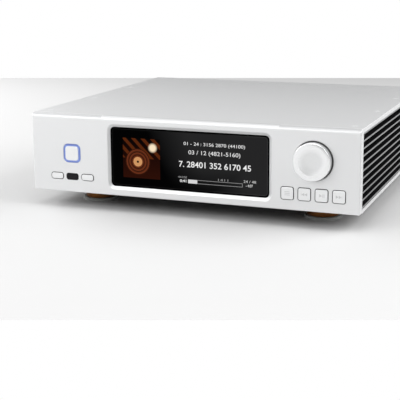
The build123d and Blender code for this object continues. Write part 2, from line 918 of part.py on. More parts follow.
def board_screws():
    """Screws into the posts."""
    def one(length):
        return screw(board_head, board_head_height, board_shank, length, case_socket, case_socket_depth)

    length = board_thickness + board_screw_length - seat_gap
    screws = [Pos(x, y, board_top) * one(length) for x, y in all_corners()]
    back = control_front + board_thickness
    length = board_thickness + control_gap - seat_gap
    screws += [Pos(x, back, z) * Rot(-90, 0, 0) * one(length) for x, z in control_post_places()]
    return screws


def transformer():
    """Toroidal transformer, taped all over."""
    low = deck + toroid_pad
    ring = rod_z(toroid_x, toroid_y, toroid_radius, low, low + toroid_height)
    ring -= rod_z(toroid_x, toroid_y, toroid_hole, low - overrun, low + toroid_height + overrun)
    return fillet(ring.edges().filter_by(GeomType.CIRCLE), toroid_round)


def transformer_mount():
    """Rubber pad below the transformer, pressing plate above it, and the bolt through both."""
    low = deck + toroid_pad
    top = low + toroid_height
    hole = toroid_bolt + hole_gap
    pad = rod_z(toroid_x, toroid_y, toroid_radius - toroid_round, deck, low)
    pad -= rod_z(toroid_x, toroid_y, hole, deck - overrun, low + overrun)
    disc = rod_z(toroid_x, toroid_y, toroid_plate, top, top + toroid_plate_thickness)
    disc -= rod_z(toroid_x, toroid_y, hole, top - overrun, lid)
    seat = top + toroid_plate_thickness
    bolt = screw(toroid_bolt_head, toroid_bolt_height, toroid_bolt, seat - foot_height - seat_gap, toroid_bolt,
                 toroid_bolt_height / 2)
    return [pad, disc, Pos(toroid_x, toroid_y, seat) * bolt]


def filter_capacitors():
    """Four standing capacitors on the power supply board."""
    cans = []
    for x in around(supply_x, can_pitch, 2):
        for y in around((supply_y0 + supply_y1) / 2, can_pitch, 2):
            can = rod_z(x, y, can_radius, board_top, board_top + can_height)
            cans.append(fillet(can.edges().group_by(Axis.Z)[-1], can_round))
    return cans


def memory_span():
    """Front and back of the memory module, near the front edge of the main board."""
    back = main_y0 + memory_from_front + memory_depth / 2
    return back - memory_depth, back


def cache_span():
    """Front and back of the cache drive, near the back edge of the main board."""
    middle = main_y1 - store_from_back
    return middle - store_depth / 2, middle + store_depth / 2


def cooler():
    """Finned cooler on the processor, between the memory and the cache drive."""
    half = cooler_width / 2
    y0, y1 = memory_span()[1] + cooler_space, cache_span()[0] - cooler_space
    body = block(main_x - half, main_x + half, y0, y1, board_top, board_top + cooler_base)
    for x in evenly(main_x - half + cooler_fin / 2, main_x + half - cooler_fin / 2, cooler_fins):
        body += block(x - cooler_fin / 2, x + cooler_fin / 2, y0, y1, board_top + cooler_base,
                      board_top + cooler_height)
    return body


def memory_module():
    """Memory module in its low socket."""
    return block(main_x - memory_width / 2, main_x + memory_width / 2, *memory_span(), board_top,
                 board_top + memory_height)


def cache_drive():
    """Solid state drive lying on the main board."""
    return block(main_x - store_width / 2, main_x + store_width / 2, *cache_span(), board_top,
                 board_top + store_height)


def rca_jacks():
    """Coaxial jacks: a body on the board, a collar against the rear panel, and the shell with its bore."""
    z = board_top + jack_rise
    half = jack_body_width / 2
    tip = case_depth + jack_proud
    jacks = []
    for x in socket_places[:jack_count]:
        body = block(x - half, x + half, rear_inside - jack_body_depth, rear_inside - seat_gap,
                     board_top, board_top + jack_body_height)
        body += rod_y(x, z, jack_radius, rear_inside - seat_gap, tip)
        body += rod_y(x, z, jack_collar, case_depth + seat_gap, case_depth + jack_collar_proud)
        jacks.append(body - rod_y(x, z, jack_bore, tip - jack_bore_depth, tip + overrun))
    return jacks


def jack_holes():
    """Holes in the rear panel for the coaxial jacks."""
    return [rod_y(x, board_top + jack_rise, jack_radius + hole_gap, 0, case_depth + overrun)
            for x in socket_places[:jack_count]]


def socket_box(x, width, height, depth, fit=0.0, longer=0.0):
    """Outline of a socket on the output board that reaches through the rear panel."""
    half = width / 2 + fit
    return block(x - half, x + half, case_depth - depth, case_depth + socket_proud + longer,
                 board_top - fit * (longer > 0), board_top + height + fit)


def optical_socket():
    """Optical socket with its square mouth."""
    z = board_top + optical_height / 2
    half = optical_hole / 2
    mouth = case_depth + socket_proud
    return socket_box(optical_x, optical_width, optical_height, optical_depth) - block(
        optical_x - half, optical_x + half, mouth - optical_hole_depth, mouth + overrun, z - half, z + half)


def usb_sockets():
    """Two stacked sockets, each with its tongue."""
    mouth = case_depth + socket_proud
    body = socket_box(usb_x, usb_width, usb_height, usb_depth)
    for z in around(board_top + usb_height / 2, usb_slot_pitch, 2):
        low, high = z - usb_slot_height / 2, z + usb_slot_height / 2
        half, tongue = usb_slot_width / 2, usb_tongue_width / 2
        body -= block(usb_x - half, usb_x + half, mouth - usb_slot_depth, mouth + overrun, low, high)
        body += block(usb_x - tongue, usb_x + tongue, mouth - usb_slot_depth, mouth - socket_proud,
                      high - seat_gap - usb_tongue, high - seat_gap)
    return body


def network_jack():
    """Network socket with the notch for the plug's latch on top."""
    mouth = case_depth + socket_proud
    z = board_top + (network_height - network_hole_height - network_latch_height) / 2
    half, latch = network_hole_width / 2, network_latch / 2
    body = socket_box(network_x, network_width, network_height, network_depth)
    body -= block(network_x - half, network_x + half, mouth - network_hole_depth, mouth + overrun,
                  z, z + network_hole_height)
    return body - block(network_x - latch, network_x + latch, mouth - network_hole_depth, mouth + overrun,
                        z + network_hole_height, z + network_hole_height + network_latch_height)


def inlet_screw_places():
    """Centres of the two screws of the mains inlet."""
    return [(inlet_x + s * inlet_screw_spread, deck + inlet_rise) for s in (-1, 1)]


def mains_inlet():
    """Appliance inlet: flange, body, cavity with two clipped corners and three blades."""
    z = deck + inlet_rise
    mouth = case_depth + inlet_flange_thickness
    floor = mouth - inlet_hole_depth
    body = tile_y(inlet_x, z, inlet_flange_width, inlet_flange_height, inlet_flange_corner, case_depth, mouth)
    body += tile_y(inlet_x, z, inlet_width, inlet_height, inlet_corner, mouth - inlet_depth, case_depth)
    cavity = block(inlet_x - inlet_hole_width / 2, inlet_x + inlet_hole_width / 2, floor, mouth + overrun,
                   z - inlet_hole_height / 2, z + inlet_hole_height / 2)
    corners = cavity.edges().filter_by(Axis.Y).group_by(Axis.Z)[-1]
    body -= chamfer(corners, inlet_hole_chamfer)
    half_width, half_height = inlet_pin_width / 2, inlet_pin_height / 2
    for i in (-1, 0, 1):
        x = inlet_x + i * inlet_pin_pitch
        pin_z = z + (inlet_pin_drop if i == 0 else -inlet_pin_drop)
        body += block(x - half_width, x + half_width, floor - seat_gap, floor + inlet_pin_length,
                      pin_z - half_height, pin_z + half_height)
    for x, screw_z in inlet_screw_places():
        body -= rod_y(x, screw_z, case_shank + hole_gap, 0, mouth + overrun)
        body -= rod_y(x, screw_z, case_head + hole_gap, mouth - inlet_flange_thickness / 2, mouth + overrun)
    return body


def rocker_centre():
    """Depth and height of the power switch's pivot."""
    return case_depth - rocker_set_back, deck + switch_rise


def switch_housing():
    """Housing of the power switch, with its bezel and the cavity that its rocker turns in."""
    y, z = rocker_centre()
    room = rocker_reach + rocker_gap
    half = rocker_width / 2 + rocker_gap
    body = tile_y(inlet_x, z, bezel_width, bezel_height, bezel_corner, case_depth, case_depth + bezel_thickness)
    body += tile_y(inlet_x, z, rocker_body_width, rocker_body_height, bezel_corner / 2,
                   case_depth - rocker_body_depth, case_depth)
    body -= block(inlet_x - half, inlet_x + half, y - room, case_depth + overrun, z - room, z + room)
    pin = half + rocker_pin_reach
    return body - rod_x(y, z, rocker_pin + running_gap, inlet_x - pin, inlet_x + pin)


def switch_rocker():
    """Rocker with its two pivot pins, leaning to its on side at rest."""
    y, z = rocker_centre()
    half = rocker_width / 2

    def at(angle, reach):
        turned = math.radians(angle + rocker_lean)
        return (y + reach * math.cos(turned), z + reach * math.sin(turned))

    outline = [at(-rocker_tip_angle, rocker_reach), at(0, rocker_waist), at(rocker_tip_angle, rocker_reach),
               at(rocker_back_angle, rocker_back), at(-rocker_back_angle, rocker_back)]
    pin = half + rocker_gap + rocker_pin_reach - running_gap
    paddle = prism_x(outline, inlet_x - half, inlet_x + half)
    return paddle + rod_x(y, z, rocker_pin, inlet_x - pin, inlet_x + pin)


def tray_floor():
    """Underside of the storage tray."""
    return deck + bay_wall + seat_gap


def drive_bay():
    """Sheet cage that guides the storage tray, open at the back."""
    half = tray_width / 2 + tray_side_gap
    cage = block(bay_left, tray_x + half + bay_wall, bay_front, rear_inside, deck, deck + bay_height)
    return cage - block(tray_x - half, tray_x + half, bay_front + bay_wall, rear_inside + overrun,
                        deck + bay_wall, deck + bay_height - bay_wall)


def drive_tray():
    """Tray with low sides, a face that closes the rear panel, and a lip to pull it by."""
    half = tray_width / 2
    low = tray_floor()
    front = rear_inside - tray_depth
    body = block(tray_x - half, tray_x + half, front, case_depth, low, low + tray_wall)
    for s in (-1, 1):
        inner, outer = sorted((tray_x + s * half, tray_x + s * (half - tray_wall)))
        body += block(inner, outer, front, case_depth, low, low + tray_side_height)
    body += block(tray_x - half, tray_x + half, rear_inside, case_depth, low, low + tray_face_height)
    lip = tray_lip_width / 2
    z = low + tray_face_height / 2
    body += block(tray_x - lip, tray_x + lip, case_depth, case_depth + tray_lip_proud,
                  z - tray_lip_height / 2, z + tray_lip_height / 2)
    return body


def storage_drive():
    """Storage drive lying on the tray."""
    low = tray_floor() + tray_wall
    back = rear_inside - (tray_depth - drive_depth) / 2
    half = drive_width / 2
    body = block(tray_x - half, tray_x + half, back - drive_depth, back, low, low + drive_height)
    return fillet(body.edges().filter_by(Axis.Z), drive_round)


def rear_panel():
    """Rear panel with its openings for the sockets, the inlet, the switch and the tray."""
    half = inner_half + sink_wall
    z = deck + inlet_rise
    sheet = block(-half, half, rear_inside, case_depth, deck, lid)
    cuts = jack_holes()
    cuts.append(socket_box(optical_x, optical_width, optical_height, optical_depth, hole_gap, overrun))
    cuts.append(socket_box(usb_x, usb_width, usb_height, usb_depth, hole_gap, overrun))
    cuts.append(socket_box(network_x, network_width, network_height, network_depth, hole_gap, overrun))
    cuts.append(tile_y(inlet_x, z, inlet_width + 2 * hole_gap, inlet_height + 2 * hole_gap, inlet_corner,
                       0, case_depth + overrun))
    cuts.append(tile_y(inlet_x, rocker_centre()[1], rocker_body_width + 2 * hole_gap,
                       rocker_body_height + 2 * hole_gap, bezel_corner / 2, 0, case_depth + overrun))
    half_tray = tray_width / 2 + tray_side_gap
    cuts.append(block(tray_x - half_tray, tray_x + half_tray, 0, case_depth + overrun, deck + bay_wall,
                      deck + bay_height - bay_wall + tray_side_gap))
    for x, screw_z in inlet_screw_places():
        cuts.append(rod_y(x, screw_z, case_shank + thread_gap, 0, case_depth + overrun))
    for x, screw_z in rear_screw_places():
        cuts.append(rod_y(x, screw_z, rear_shank + hole_gap, 0, case_depth + overrun))
    return sheet - cuts


def rear_screws():
    """Screws of the rear panel and of the mains inlet, heads outward."""
    screws = []
    for x, z in rear_screw_places():
        length = rear_thickness + case_screw_length - seat_gap
        body = screw(rear_head, rear_head_height, rear_shank, length, rear_shank, rear_socket_depth)
        screws.append(Pos(x, case_depth, z) * Rot(-90, 0, 0) * body)
    for x, z in inlet_screw_places():
        seat = case_depth + inlet_flange_thickness / 2
        screws.append(Pos(x, seat, z) * Rot(-90, 0, 0) * case_screw(case_screw_length))
    return screws


def ribbon(x, width, start_y, start_z, end_y, end_z, loop):
    """Flat cable: back from its start, down, and back again to its end, folded square."""
    x0, x1 = x - width / 2, x + width / 2
    turn = start_y + loop
    strip = block(x0, x1, start_y, turn, start_z, start_z + ribbon_thickness)
    strip += block(x0, x1, turn - ribbon_thickness, turn, end_z, start_z + ribbon_thickness)
    return strip + block(x0, x1, turn - ribbon_thickness, end_y, end_z, end_z + ribbon_thickness)


def cable_sockets():
    """Cable sockets at the front edge of the main board, one for each ribbon."""
    y = main_y0
    sockets = []
    for x, width in ribbon_places():
        half = width / 2 + socket_end
        sockets.append(block(x - half, x + half, y, y + socket_depth, board_top, board_top + socket_height))
    return sockets


def ribbon_places():
    """Centre and width of the display's ribbon and of the right and left control boards' ribbons."""
    left_edge = main_x - main_width / 2
    right_board = control_board_boxes()[1][0]
    return [(main_x - main_width / 4, display_ribbon_width), (right_board + control_ribbon_width,
            control_ribbon_width), (left_edge + 2 * control_ribbon_width, control_ribbon_width)]


def ribbons():
    """Cables from the display and from the two control boards to the main board."""
    end_y = main_y0
    end_z = board_top + ribbon_lift
    board_back = control_front + board_thickness
    (display_x, display_width), (right_x, width), (left_x, width) = ribbon_places()
    start_z = foot_height + control_board_low + left_board_height / 2
    window_z = foot_height + window_rise
    strips = [ribbon(display_x, display_width, frame_back, window_z, end_y, end_z, ribbon_loop)]
    strips.append(ribbon(right_x, width, board_back, start_z, end_y, end_z, ribbon_loop))
    start_x = control_board_boxes()[0][1] - control_ribbon_width
    turn = board_back + ribbon_loop
    strip = ribbon(start_x, width, board_back, start_z, turn, end_z, ribbon_loop)
    strip += block(start_x - width / 2, left_x + width / 2, turn - ribbon_loop, turn, end_z,
                   end_z + ribbon_thickness)
    strips.append(strip + block(left_x - width / 2, left_x + width / 2, turn - ribbon_loop, end_y, end_z,
                                end_z + ribbon_thickness))
    return strips


def build():
    """Builds and writes every piece."""
    save("front_panel", front_panel())
    save("front_frame", front_frame())
    save("front_frame_screws", *frame_screws())
    save("top_cover", plate(lid, 1))
    save("top_cover_screws", *plate_screws(lid + plate_thickness - case_head_height, 1))
    save("bottom_plate", bottom_plate())
    save("bottom_plate_screws", *plate_screws(foot_height + case_head_height, -1))
    save("side_heatsink_left", side_heatsink(-1))
    save("side_heatsink_right", side_heatsink(1))
    save("rear_panel", rear_panel())
    save("rear_panel_screws", *rear_screws())
    for name, place in foot_places().items():
        save(f"foot_{name}", foot(*place))
    save("foot_bases", *[foot_base(*place) for place in foot_places().values()])
    save("foot_screws", *[foot_screw(*place) for place in foot_places().values()])
    save("display_window", display_window())
    save("display_module", display_module())
    save("display_bracket", display_bracket())
    save("power_light_ring", light_ring())
    save("power_button", power_button())
    for name, x in zip(("left", "right"), small_places()):
        save(f"display_button_{name}", small_button(x))
    for name, x in zip(("menu", "previous", "play", "next"), key_places()):
        save(f"{name}_button", square_button(x))
    save("remote_window", remote_window())
    save("remote_receiver", remote_receiver())
    save("volume_knob", knob())
    save("knob_set_screw", knob_set_screw())
    save("encoder_shaft", encoder_shaft())
    save("encoder_housing", encoder_housing())
    save("encoder_nut", encoder_nut())
    for name, box in zip(("left", "right"), control_board_boxes()):
        save(f"{name}_control_board", control_board(box))
    save("tact_switches", *tact_switches())
    save("board_standoffs", *standoffs())
    save("board_screws", *board_screws())
    save("toroidal_transformer", transformer())
    save("transformer_mount", *transformer_mount())
    save("power_supply_board", flat_board("power_supply_board"))
    save("main_board", flat_board("main_board") + cable_sockets())
    save("output_board", flat_board("output_board"))
    save("filter_capacitors", *filter_capacitors())
    save("processor_cooler", cooler())
    save("memory_module", memory_module())
    save("cache_drive", cache_drive())
    save("rca_jacks", *rca_jacks())
    save("optical_socket", optical_socket())
    save("usb_sockets", usb_sockets())
    save("network_jack", network_jack())
    save("mains_inlet", mains_inlet())
    save("power_switch_housing", switch_housing())
    save("power_switch_rocker", switch_rocker())
    save("drive_bay", drive_bay())
    save("drive_tray", drive_tray())
    save("storage_drive", storage_drive())
    save("ribbon_cables", *ribbons())


os.makedirs("parts", exist_ok=True)
build()
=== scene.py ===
import math

import bpy
import bmesh
from mathutils import Matrix, Vector


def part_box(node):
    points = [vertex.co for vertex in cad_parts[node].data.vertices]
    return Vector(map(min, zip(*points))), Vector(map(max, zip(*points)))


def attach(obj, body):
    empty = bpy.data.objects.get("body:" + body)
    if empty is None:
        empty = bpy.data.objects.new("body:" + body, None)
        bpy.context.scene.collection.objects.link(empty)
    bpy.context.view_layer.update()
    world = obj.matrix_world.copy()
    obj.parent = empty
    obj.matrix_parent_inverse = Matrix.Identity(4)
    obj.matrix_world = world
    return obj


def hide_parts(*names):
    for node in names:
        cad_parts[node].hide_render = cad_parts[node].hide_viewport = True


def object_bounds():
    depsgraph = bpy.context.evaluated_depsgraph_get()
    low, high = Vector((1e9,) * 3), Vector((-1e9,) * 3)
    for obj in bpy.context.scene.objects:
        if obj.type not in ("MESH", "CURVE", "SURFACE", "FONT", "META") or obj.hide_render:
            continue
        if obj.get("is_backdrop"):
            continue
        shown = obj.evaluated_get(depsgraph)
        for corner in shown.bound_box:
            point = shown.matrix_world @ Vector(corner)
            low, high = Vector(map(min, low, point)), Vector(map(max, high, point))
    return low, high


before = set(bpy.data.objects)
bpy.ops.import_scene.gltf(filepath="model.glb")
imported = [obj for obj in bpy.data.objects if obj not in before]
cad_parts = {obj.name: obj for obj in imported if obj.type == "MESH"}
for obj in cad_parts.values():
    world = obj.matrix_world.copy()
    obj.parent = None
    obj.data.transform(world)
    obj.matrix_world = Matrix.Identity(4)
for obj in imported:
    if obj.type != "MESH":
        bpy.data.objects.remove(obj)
cad_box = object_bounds()


# Front panel, top cover and base plate
# Thick milled aluminium plates, bead blasted to a fine satin and clear anodised, the base painted dark
# beneath as shade under the casing.
# The front panel screws to the inner frame from behind, the other two to the heat sinks.
def opened(mat):
    """A material's node tree, its shader and a fresh output of object coordinates."""
    tree = mat.node_tree
    return tree, tree.nodes["Principled BSDF"], tree.nodes.new("ShaderNodeTexCoord").outputs["Object"]


def shader(name, colour, metal, rough):
    """A principled material with its node tree, shader and object coordinates at hand."""
    mat = bpy.data.materials.new(name)
    mat.use_nodes = True
    tree, bsdf, place = opened(mat)
    bsdf.inputs["Base Color"].default_value = (*colour, 1)
    bsdf.inputs["Metallic"].default_value = metal
    bsdf.inputs["Roughness"].default_value = rough
    return mat, tree, bsdf, place


def noise(tree, place, scale, detail=2.0):
    """A noise pattern of so many grains to the metre."""
    node = tree.nodes.new("ShaderNodeTexNoise")
    node.inputs["Scale"].default_value = scale
    node.inputs["Detail"].default_value = detail
    tree.links.new(place, node.inputs["Vector"])
    return node.outputs["Fac"]


def ranged(tree, value, low, high, start=0.0, end=1.0):
    """A value carried from one range to another, and held at its ends."""
    node = tree.nodes.new("ShaderNodeMapRange")
    tree.links.new(value, node.inputs["Value"])
    for socket, number in (("From Min", start), ("From Max", end), ("To Min", low), ("To Max", high)):
        node.inputs[socket].default_value = number
    return node.outputs["Result"]


def worked(tree, kind, first, second=0.0):
    """One operation on two values, either of which may be a plain number."""
    node = tree.nodes.new("ShaderNodeMath")
    node.operation = kind
    for i, value in enumerate((first, second)):
        if isinstance(value, (int, float)):
            node.inputs[i].default_value = value
        else:
            tree.links.new(value, node.inputs[i])
    return node.outputs[0]


def blended(tree, factor, first, second):
    """A colour between two others."""
    node = tree.nodes.new("ShaderNodeMix")
    node.data_type = "RGBA"
    tree.links.new(factor, node.inputs[0])
    for socket, colour in ((node.inputs[6], first), (node.inputs[7], second)):
        if isinstance(colour, tuple):
            socket.default_value = (*colour, 1)
        else:
            tree.links.new(colour, socket)
    return node.outputs[2]


def tinted(tree, bsdf, factor, colour):
    """Carries a shader's base colour towards another one where a factor is high."""
    first = bsdf.inputs["Base Color"].links[0].from_socket
    tree.links.new(blended(tree, factor, first, colour), bsdf.inputs["Base Color"])


grain_height = 0.00005


def raised(tree, bsdf, height, strength, distance=grain_height):
    """A bump that comes from a height pattern."""
    node = tree.nodes.new("ShaderNodeBump")
    node.inputs["Strength"].default_value = strength
    node.inputs["Distance"].default_value = distance
    tree.links.new(height, node.inputs["Height"])
    tree.links.new(node.outputs["Normal"], bsdf.inputs["Normal"])


patch_scale, patch_tone, gloss_play, grain_relief = 9.0, 0.97, 0.04, 0.12


def blasted(name, colour, metal, rough, grain):
    """Blasted metal or moulded plastic: a fine grain in its relief, and faintly uneven in tone and gloss."""
    mat, tree, bsdf, place = shader(name, colour, metal, rough)
    fine = noise(tree, place, grain)
    broad = noise(tree, place, patch_scale)
    dark = tuple(c * patch_tone for c in colour)
    tree.links.new(blended(tree, broad, dark, colour), bsdf.inputs["Base Color"])
    tree.links.new(ranged(tree, fine, rough - gloss_play, rough + gloss_play), bsdf.inputs["Roughness"])
    raised(tree, bsdf, fine, grain_relief)
    return mat


def dress(material, *nodes):
    """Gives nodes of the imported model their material."""
    for name in nodes:
        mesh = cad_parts[name].data
        mesh.materials.clear()
        mesh.materials.append(material)


def within(tree, value, low, high):
    """One where a value lies between two limits, and nought elsewhere."""
    above = worked(tree, "GREATER_THAN", value, low)
    return worked(tree, "MULTIPLY", above, worked(tree, "LESS_THAN", value, high))


def split(tree, place):
    """The three coordinates of a place."""
    node = tree.nodes.new("ShaderNodeSeparateXYZ")
    tree.links.new(place, node.inputs[0])
    return node.outputs["X"], node.outputs["Y"], node.outputs["Z"]


def from_axis(tree, along, high, x, z):
    """Distance from a line that runs from front to back."""
    across = worked(tree, "SUBTRACT", along, x)
    upward = worked(tree, "SUBTRACT", high, z)
    across_square = worked(tree, "MULTIPLY", across, across)
    upward_square = worked(tree, "MULTIPLY", upward, upward)
    return worked(tree, "SQRT", worked(tree, "ADD", across_square, upward_square))


panel_silver = blasted("panel_silver", (0.79, 0.795, 0.80), 0.65, 0.46, 2600.0)
panel_low, panel_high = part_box("front_panel")
knob_low, knob_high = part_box("volume_knob")
knob_middle, knob_radius = (knob_low + knob_high) / 2, (knob_high.x - knob_low.x) / 2
tree, bsdf, place = opened(panel_silver)
along, deep, high = split(tree, place)
sideways = worked(tree, "ABSOLUTE", along)
depth = worked(tree, "SUBTRACT", deep, panel_low.y)

# Painted shade: the round of the upper edge and the bevel of the window catch the lamps, so both are painted
# a darker grey that tones down their highlights.
round_low, round_high = panel_high.z - 0.0035, panel_high.z - 0.002
round_near, round_far = 0.003, 0.0042
window_side, window_skin = 0.0945, 0.0004
upper_round_painted_shade = worked(tree, "MULTIPLY", ranged(tree, high, 0.0, 1.0, round_low, round_high),
                    ranged(tree, depth, 1.0, 0.0, round_near, round_far))
window_bevel_painted_shade = worked(tree, "MULTIPLY", worked(tree, "LESS_THAN", sideways, window_side),
                     worked(tree, "GREATER_THAN", depth, window_skin))
tinted(tree, bsdf, upper_round_painted_shade, (0.54, 0.545, 0.55))
tinted(tree, bsdf, window_bevel_painted_shade, (0.66, 0.665, 0.67))

# Painted shade: the bores of the controls are painted dark behind their bevels, where shade falls, but not
# the open well round the knob.
bores_near, bores_far, bores_below, bores_above = 0.095, 0.168, 0.004, 0.006
row_height, key_bevel, power_bevel = 0.026, 0.0002, 0.00055
well_gap, well_width = 0.00085, 0.004
bores_painted_shade = worked(tree, "MULTIPLY", within(tree, sideways, bores_near, bores_far),
               within(tree, high, panel_low.z + bores_below, panel_high.z - bores_above))
upper_row = worked(tree, "GREATER_THAN", high, panel_low.z + row_height)
bevel_end = ranged(tree, upper_row, key_bevel, power_bevel)
bores_painted_shade = worked(tree, "MULTIPLY", bores_painted_shade, worked(tree, "GREATER_THAN", depth, bevel_end))
reach = from_axis(tree, along, high, knob_middle.x, knob_middle.z)
well_rim = within(tree, reach, knob_radius + well_gap, knob_radius + well_width)
bores_painted_shade = worked(tree, "MULTIPLY", bores_painted_shade, worked(tree, "SUBTRACT", 1.0, well_rim))
tinted(tree, bsdf, bores_painted_shade, (0.02, 0.02, 0.02))
dress(panel_silver, "front_panel")

cover_silver = blasted("cover_silver", (0.76, 0.765, 0.77), 0.7, 0.46, 2600.0)
dress(cover_silver, "top_cover")

base_grey = blasted("base_grey", (0.80, 0.805, 0.81), 0.7, 0.46, 2600.0)
tree, bsdf, place = opened(base_grey)
face_skin = 0.0001
# Painted shade: the underside of the base is dark, to deepen the shade under the casing.
underside_painted_shade = worked(tree, "LESS_THAN", split(tree, place)[2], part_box("bottom_plate")[0].z + face_skin)
tinted(tree, bsdf, underside_painted_shade, (0.04, 0.04, 0.042))
dress(base_grey, "bottom_plate")


# Side heat sinks
# Extruded aluminium bars, black anodised, with the outer faces of the fins milled bright afterwards.
sink_shade = (0.003, 0.003, 0.0032)
sink_black, tree, bsdf, place = shader("sink_black", sink_shade, 0.0, 0.5)
bsdf.inputs["Specular IOR Level"].default_value = 0.15
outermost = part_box("side_heatsink_right")[1].x - face_skin / 2
tips = worked(tree, "GREATER_THAN", worked(tree, "ABSOLUTE", split(tree, place)[0]), outermost)
streaks = noise(tree, place, 900.0)
tree.links.new(blended(tree, tips, sink_shade, (0.3, 0.305, 0.31)), bsdf.inputs["Base Color"])
tree.links.new(tips, bsdf.inputs["Metallic"])
tree.links.new(ranged(tree, streaks, 0.36, 0.52), bsdf.inputs["Roughness"])
raised(tree, bsdf, streaks, 0.1)
dress(sink_black, "side_heatsink_left", "side_heatsink_right")


# Screws and small turned pieces
# Stainless socket screws, sunk flush in the plates, and smaller ones round the rear panel and on the boards.
# The encoder's nut and shaft and the transformer's mount are of the same steel, the cover's screws paler.
screw_steel = blasted("screw_steel", (0.74, 0.745, 0.75), 0.9, 0.34, 4000.0)
cover_screw = blasted("cover_screw", (0.86, 0.865, 0.87), 0.7, 0.5, 4000.0)
dress(cover_screw, "top_cover_screws")
dress(screw_steel, "bottom_plate_screws", "front_frame_screws", "rear_panel_screws",
      "foot_screws", "board_screws", "knob_set_screw", "encoder_nut", "encoder_shaft", "transformer_mount")


# Feet
# Turned aluminium bodies, anodised bronze, each on a wider ring of soft grey rubber.
foot_bronze, tree, bsdf, place = shader("foot_bronze", (0.2, 0.075, 0.02), 0.9, 0.34)
turned = tree.nodes.new("ShaderNodeTexWave")
turned.bands_direction = "Z"
turned.inputs["Scale"].default_value = 900.0
tree.links.new(place, turned.inputs["Vector"])
tree.links.new(ranged(tree, turned.outputs["Fac"], 0.3, 0.42), bsdf.inputs["Roughness"])
raised(tree, bsdf, turned.outputs["Fac"], 0.15)
dress(foot_bronze, "foot_front_left", "foot_front_right", "foot_rear_left", "foot_rear_right")

foot_grey = blasted("foot_grey", (0.46, 0.47, 0.45), 0.0, 0.7, 1800.0)
dress(foot_grey, "foot_bases")


# Rear panel and the face of the storage tray
# Aluminium sheet and the tray's folded front, in the same satin as the casing.
rear_satin = blasted("rear_satin", (0.74, 0.745, 0.75), 0.8, 0.42, 2200.0)
dress(rear_satin, "rear_panel", "drive_tray")


# Inner frame, display bracket and drive bay
# Folded steel sheet, zinc plated, whose spangle shows as soft patches.
zinc_plate, tree, bsdf, place = shader("zinc_plate", (0.62, 0.64, 0.66), 0.9, 0.4)
cells = tree.nodes.new("ShaderNodeTexVoronoi")
cells.inputs["Scale"].default_value = 160.0
tree.links.new(place, cells.inputs["Vector"])
spangle = blended(tree, cells.outputs["Distance"], (0.66, 0.68, 0.7), (0.5, 0.52, 0.54))
tree.links.new(spangle, bsdf.inputs["Base Color"])
tree.links.new(ranged(tree, noise(tree, place, 700.0), 0.3, 0.48), bsdf.inputs["Roughness"])
dress(zinc_plate, "front_frame", "display_bracket", "drive_bay")


# Display glass and liquid crystal module
# Hardened glass, printed black behind its border and seated in the window from behind.
polish_play = 0.05


def gloss(name, colour, rough, level):
    """Smooth glass or plastic with a faint unevenness in its polish."""
    mat, tree, bsdf, place = shader(name, colour, 0.0, rough)
    bsdf.inputs["Specular IOR Level"].default_value = level
    uneven = ranged(tree, noise(tree, place, 300.0), rough, rough + polish_play)
    tree.links.new(uneven, bsdf.inputs["Roughness"])
    return mat, tree, bsdf, place


glass_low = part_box("display_window")[0]
glass_face = glass_low.y
glass_look = ((0.0004, 0.0004, 0.0005), 0.1, 0.008)
dress(gloss("glass_black", *glass_look)[0], "display_window")
module_dark = blasted("module_dark", (0.03, 0.03, 0.033), 0.0, 0.55, 900.0)
dress(module_dark, "display_module")


# Picture area of the display
# The picture area behind the glass, with a thin lighter line where its frame begins.
# Towards the right it glows dark grey with a slanting edge: a painted reflection, and the frame's line glows
# with it.
def alone():
    """Leaves edit mode, if it is on, with nothing selected."""
    if bpy.context.mode != "OBJECT":
        bpy.ops.object.mode_set(mode="OBJECT")
    bpy.ops.object.select_all(action="DESELECT")


def choose(mesh, edges=None, faces=None):
    """Selects edges or faces of the mesh in edit mode by a test."""
    net = bmesh.from_edit_mesh(mesh)
    for item in (*net.verts, *net.edges, *net.faces):
        item.select = False
    if edges:
        bpy.context.tool_settings.mesh_select_mode = (False, True, False)
        for edge in net.edges:
            edge.select = edges(edge)
    if faces:
        bpy.context.tool_settings.mesh_select_mode = (False, False, True)
        for face in net.faces:
            face.select = faces(face)
    net.select_flush_mode()
    bmesh.update_edit_mesh(mesh)


def settle(name, material, body):
    """Ends a piece: its name, material, place in its mesh and body."""
    if bpy.context.mode != "OBJECT":
        bpy.ops.object.mode_set(mode="OBJECT")
    piece = bpy.context.object
    piece.name = name
    bpy.ops.object.transform_apply(location=True, rotation=True, scale=True)
    piece.data.materials.clear()
    piece.data.materials.append(material)
    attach(piece, body)
    return piece


def rounded_plate(x0, x1, z0, z1, front, thick, corner):
    """A thin upright plate with rounded corners, left in edit mode."""
    alone()
    bpy.ops.mesh.primitive_cube_add(size=1, location=((x0 + x1) / 2, front + thick / 2, (z0 + z1) / 2))
    bpy.ops.object.mode_set(mode="EDIT")
    bpy.ops.transform.resize(value=(x1 - x0, thick, z1 - z0))
    mesh = bpy.context.object.data
    choose(mesh, edges=lambda e: abs(e.verts[0].co.y - e.verts[1].co.y) > thick / 2)
    bpy.ops.mesh.bevel(offset=corner, segments=6, affect="EDGES")
    return mesh


screen_half, screen_low, screen_high = 0.0828, glass_low.z + 0.00395, glass_low.z + 0.06115
screen_corner, print_step = 0.003, 0.00004
reflection_slope, reflection_left, reflection_right, reflection_top = 0.45, -0.018, 0.025, 0.028
low_reflection_left, low_reflection_right = 0.02, 0.06
screen_painted_reflection, tree, bsdf, place = gloss("screen_painted_reflection", *glass_look)
along, deep, high = split(tree, place)
height = worked(tree, "SUBTRACT", high, glass_low.z)
